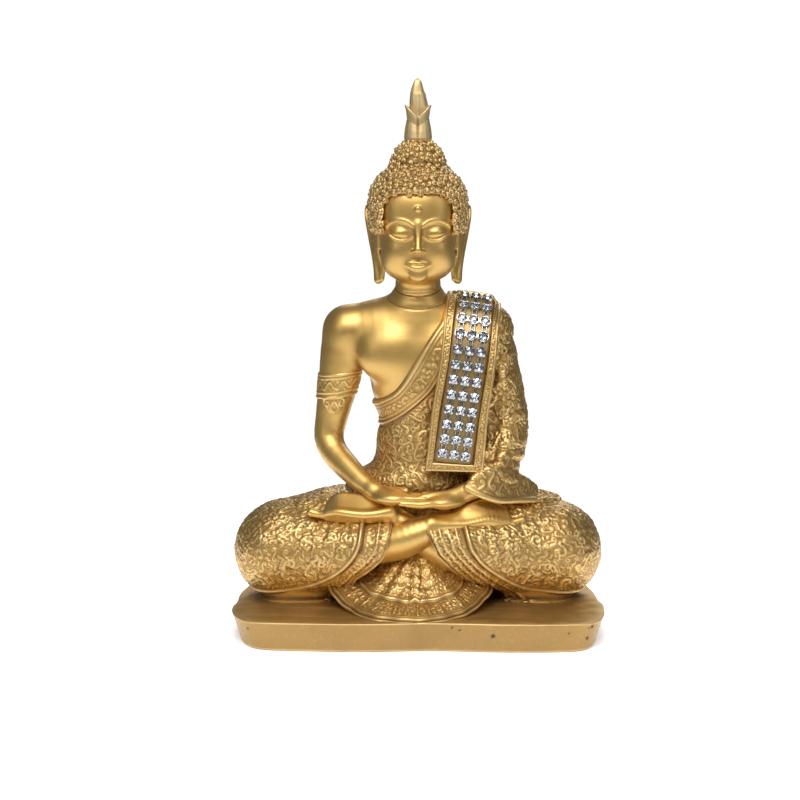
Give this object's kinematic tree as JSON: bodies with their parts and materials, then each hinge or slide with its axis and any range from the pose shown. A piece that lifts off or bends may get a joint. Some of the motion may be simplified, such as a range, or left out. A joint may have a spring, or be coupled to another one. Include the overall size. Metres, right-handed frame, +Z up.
{
  "type": "buddha statue",
  "caption": "Gold-painted resin figure seated in meditation on a low plinth, with a flame finial and a crystal banding set into its shawl; a free-standing ornament.",
  "frame": {"origin": "on the surface that the statue stands on, under the middle of its outline", "axes": "+Z up, the figure faces -Y, +X to its left"},
  "size_m": [0.1374, 0.0758, 0.204],
  "materials": {
    "gold_skin": "smooth satin gold metallic paint over polyresin",
    "gold_robe": "gold metallic paint over scroll relief, brown patina in the recesses",
    "gold_plinth": "matte gold metallic paint",
    "gold_hair": "gold metallic paint over small curls, brown patina between them",
    "gold_finial": "paler gold metallic paint",
    "crystal": "cut clear glass",
    "silver_setting": "silver plate",
    "clear_glue": "set clear glue over gold paint",
    "felt": "dark pressed felt"
  },
  "bodies": {
    "root": {"adhesive_film": "clear_glue", "banding_links": "silver_setting", "bare_chest": "gold_skin", "crystal_row_01": "crystal", "crystal_row_02": "crystal", "crystal_row_03": "crystal", "crystal_row_04": "crystal", "crystal_row_05": "crystal", "crystal_row_06": "crystal", "crystal_row_07": "crystal", "crystal_row_08": "crystal", "crystal_row_09": "crystal", "crystal_row_10": "crystal", "crystal_row_11": "crystal", "crystal_row_12": "crystal", "cup_row_01": "silver_setting", "cup_row_02": "silver_setting", "cup_row_03": "silver_setting", "cup_row_04": "silver_setting", "cup_row_05": "silver_setting", "cup_row_06": "silver_setting", "cup_row_07": "silver_setting", "cup_row_08": "silver_setting", "cup_row_09": "silver_setting", "cup_row_10": "silver_setting", "cup_row_11": "silver_setting", "cup_row_12": "silver_setting", "felt_pad": "felt", "flame_finial": "gold_finial", "hair_cap": "gold_hair", "head": "gold_skin", "left_cuff": "gold_robe", "left_ear": "gold_skin", "left_foot": "gold_skin", "left_hand": "gold_skin", "left_leg_robe": "gold_robe", "left_shin": "gold_skin", "left_sleeve": "gold_robe", "neck": "gold_skin", "plinth": "gold_plinth", "right_arm": "gold_skin", "right_armlet": "gold_robe", "right_ear": "gold_skin", "right_foot": "gold_skin", "right_hand": "gold_skin", "right_leg_robe": "gold_robe", "right_shin": "gold_skin", "robe_fan": "gold_robe", "robe_wrap": "gold_robe", "seat_robe": "gold_robe", "shawl_panel": "gold_robe", "shawl_tail": "gold_robe"}
  },
  "joints": []
}
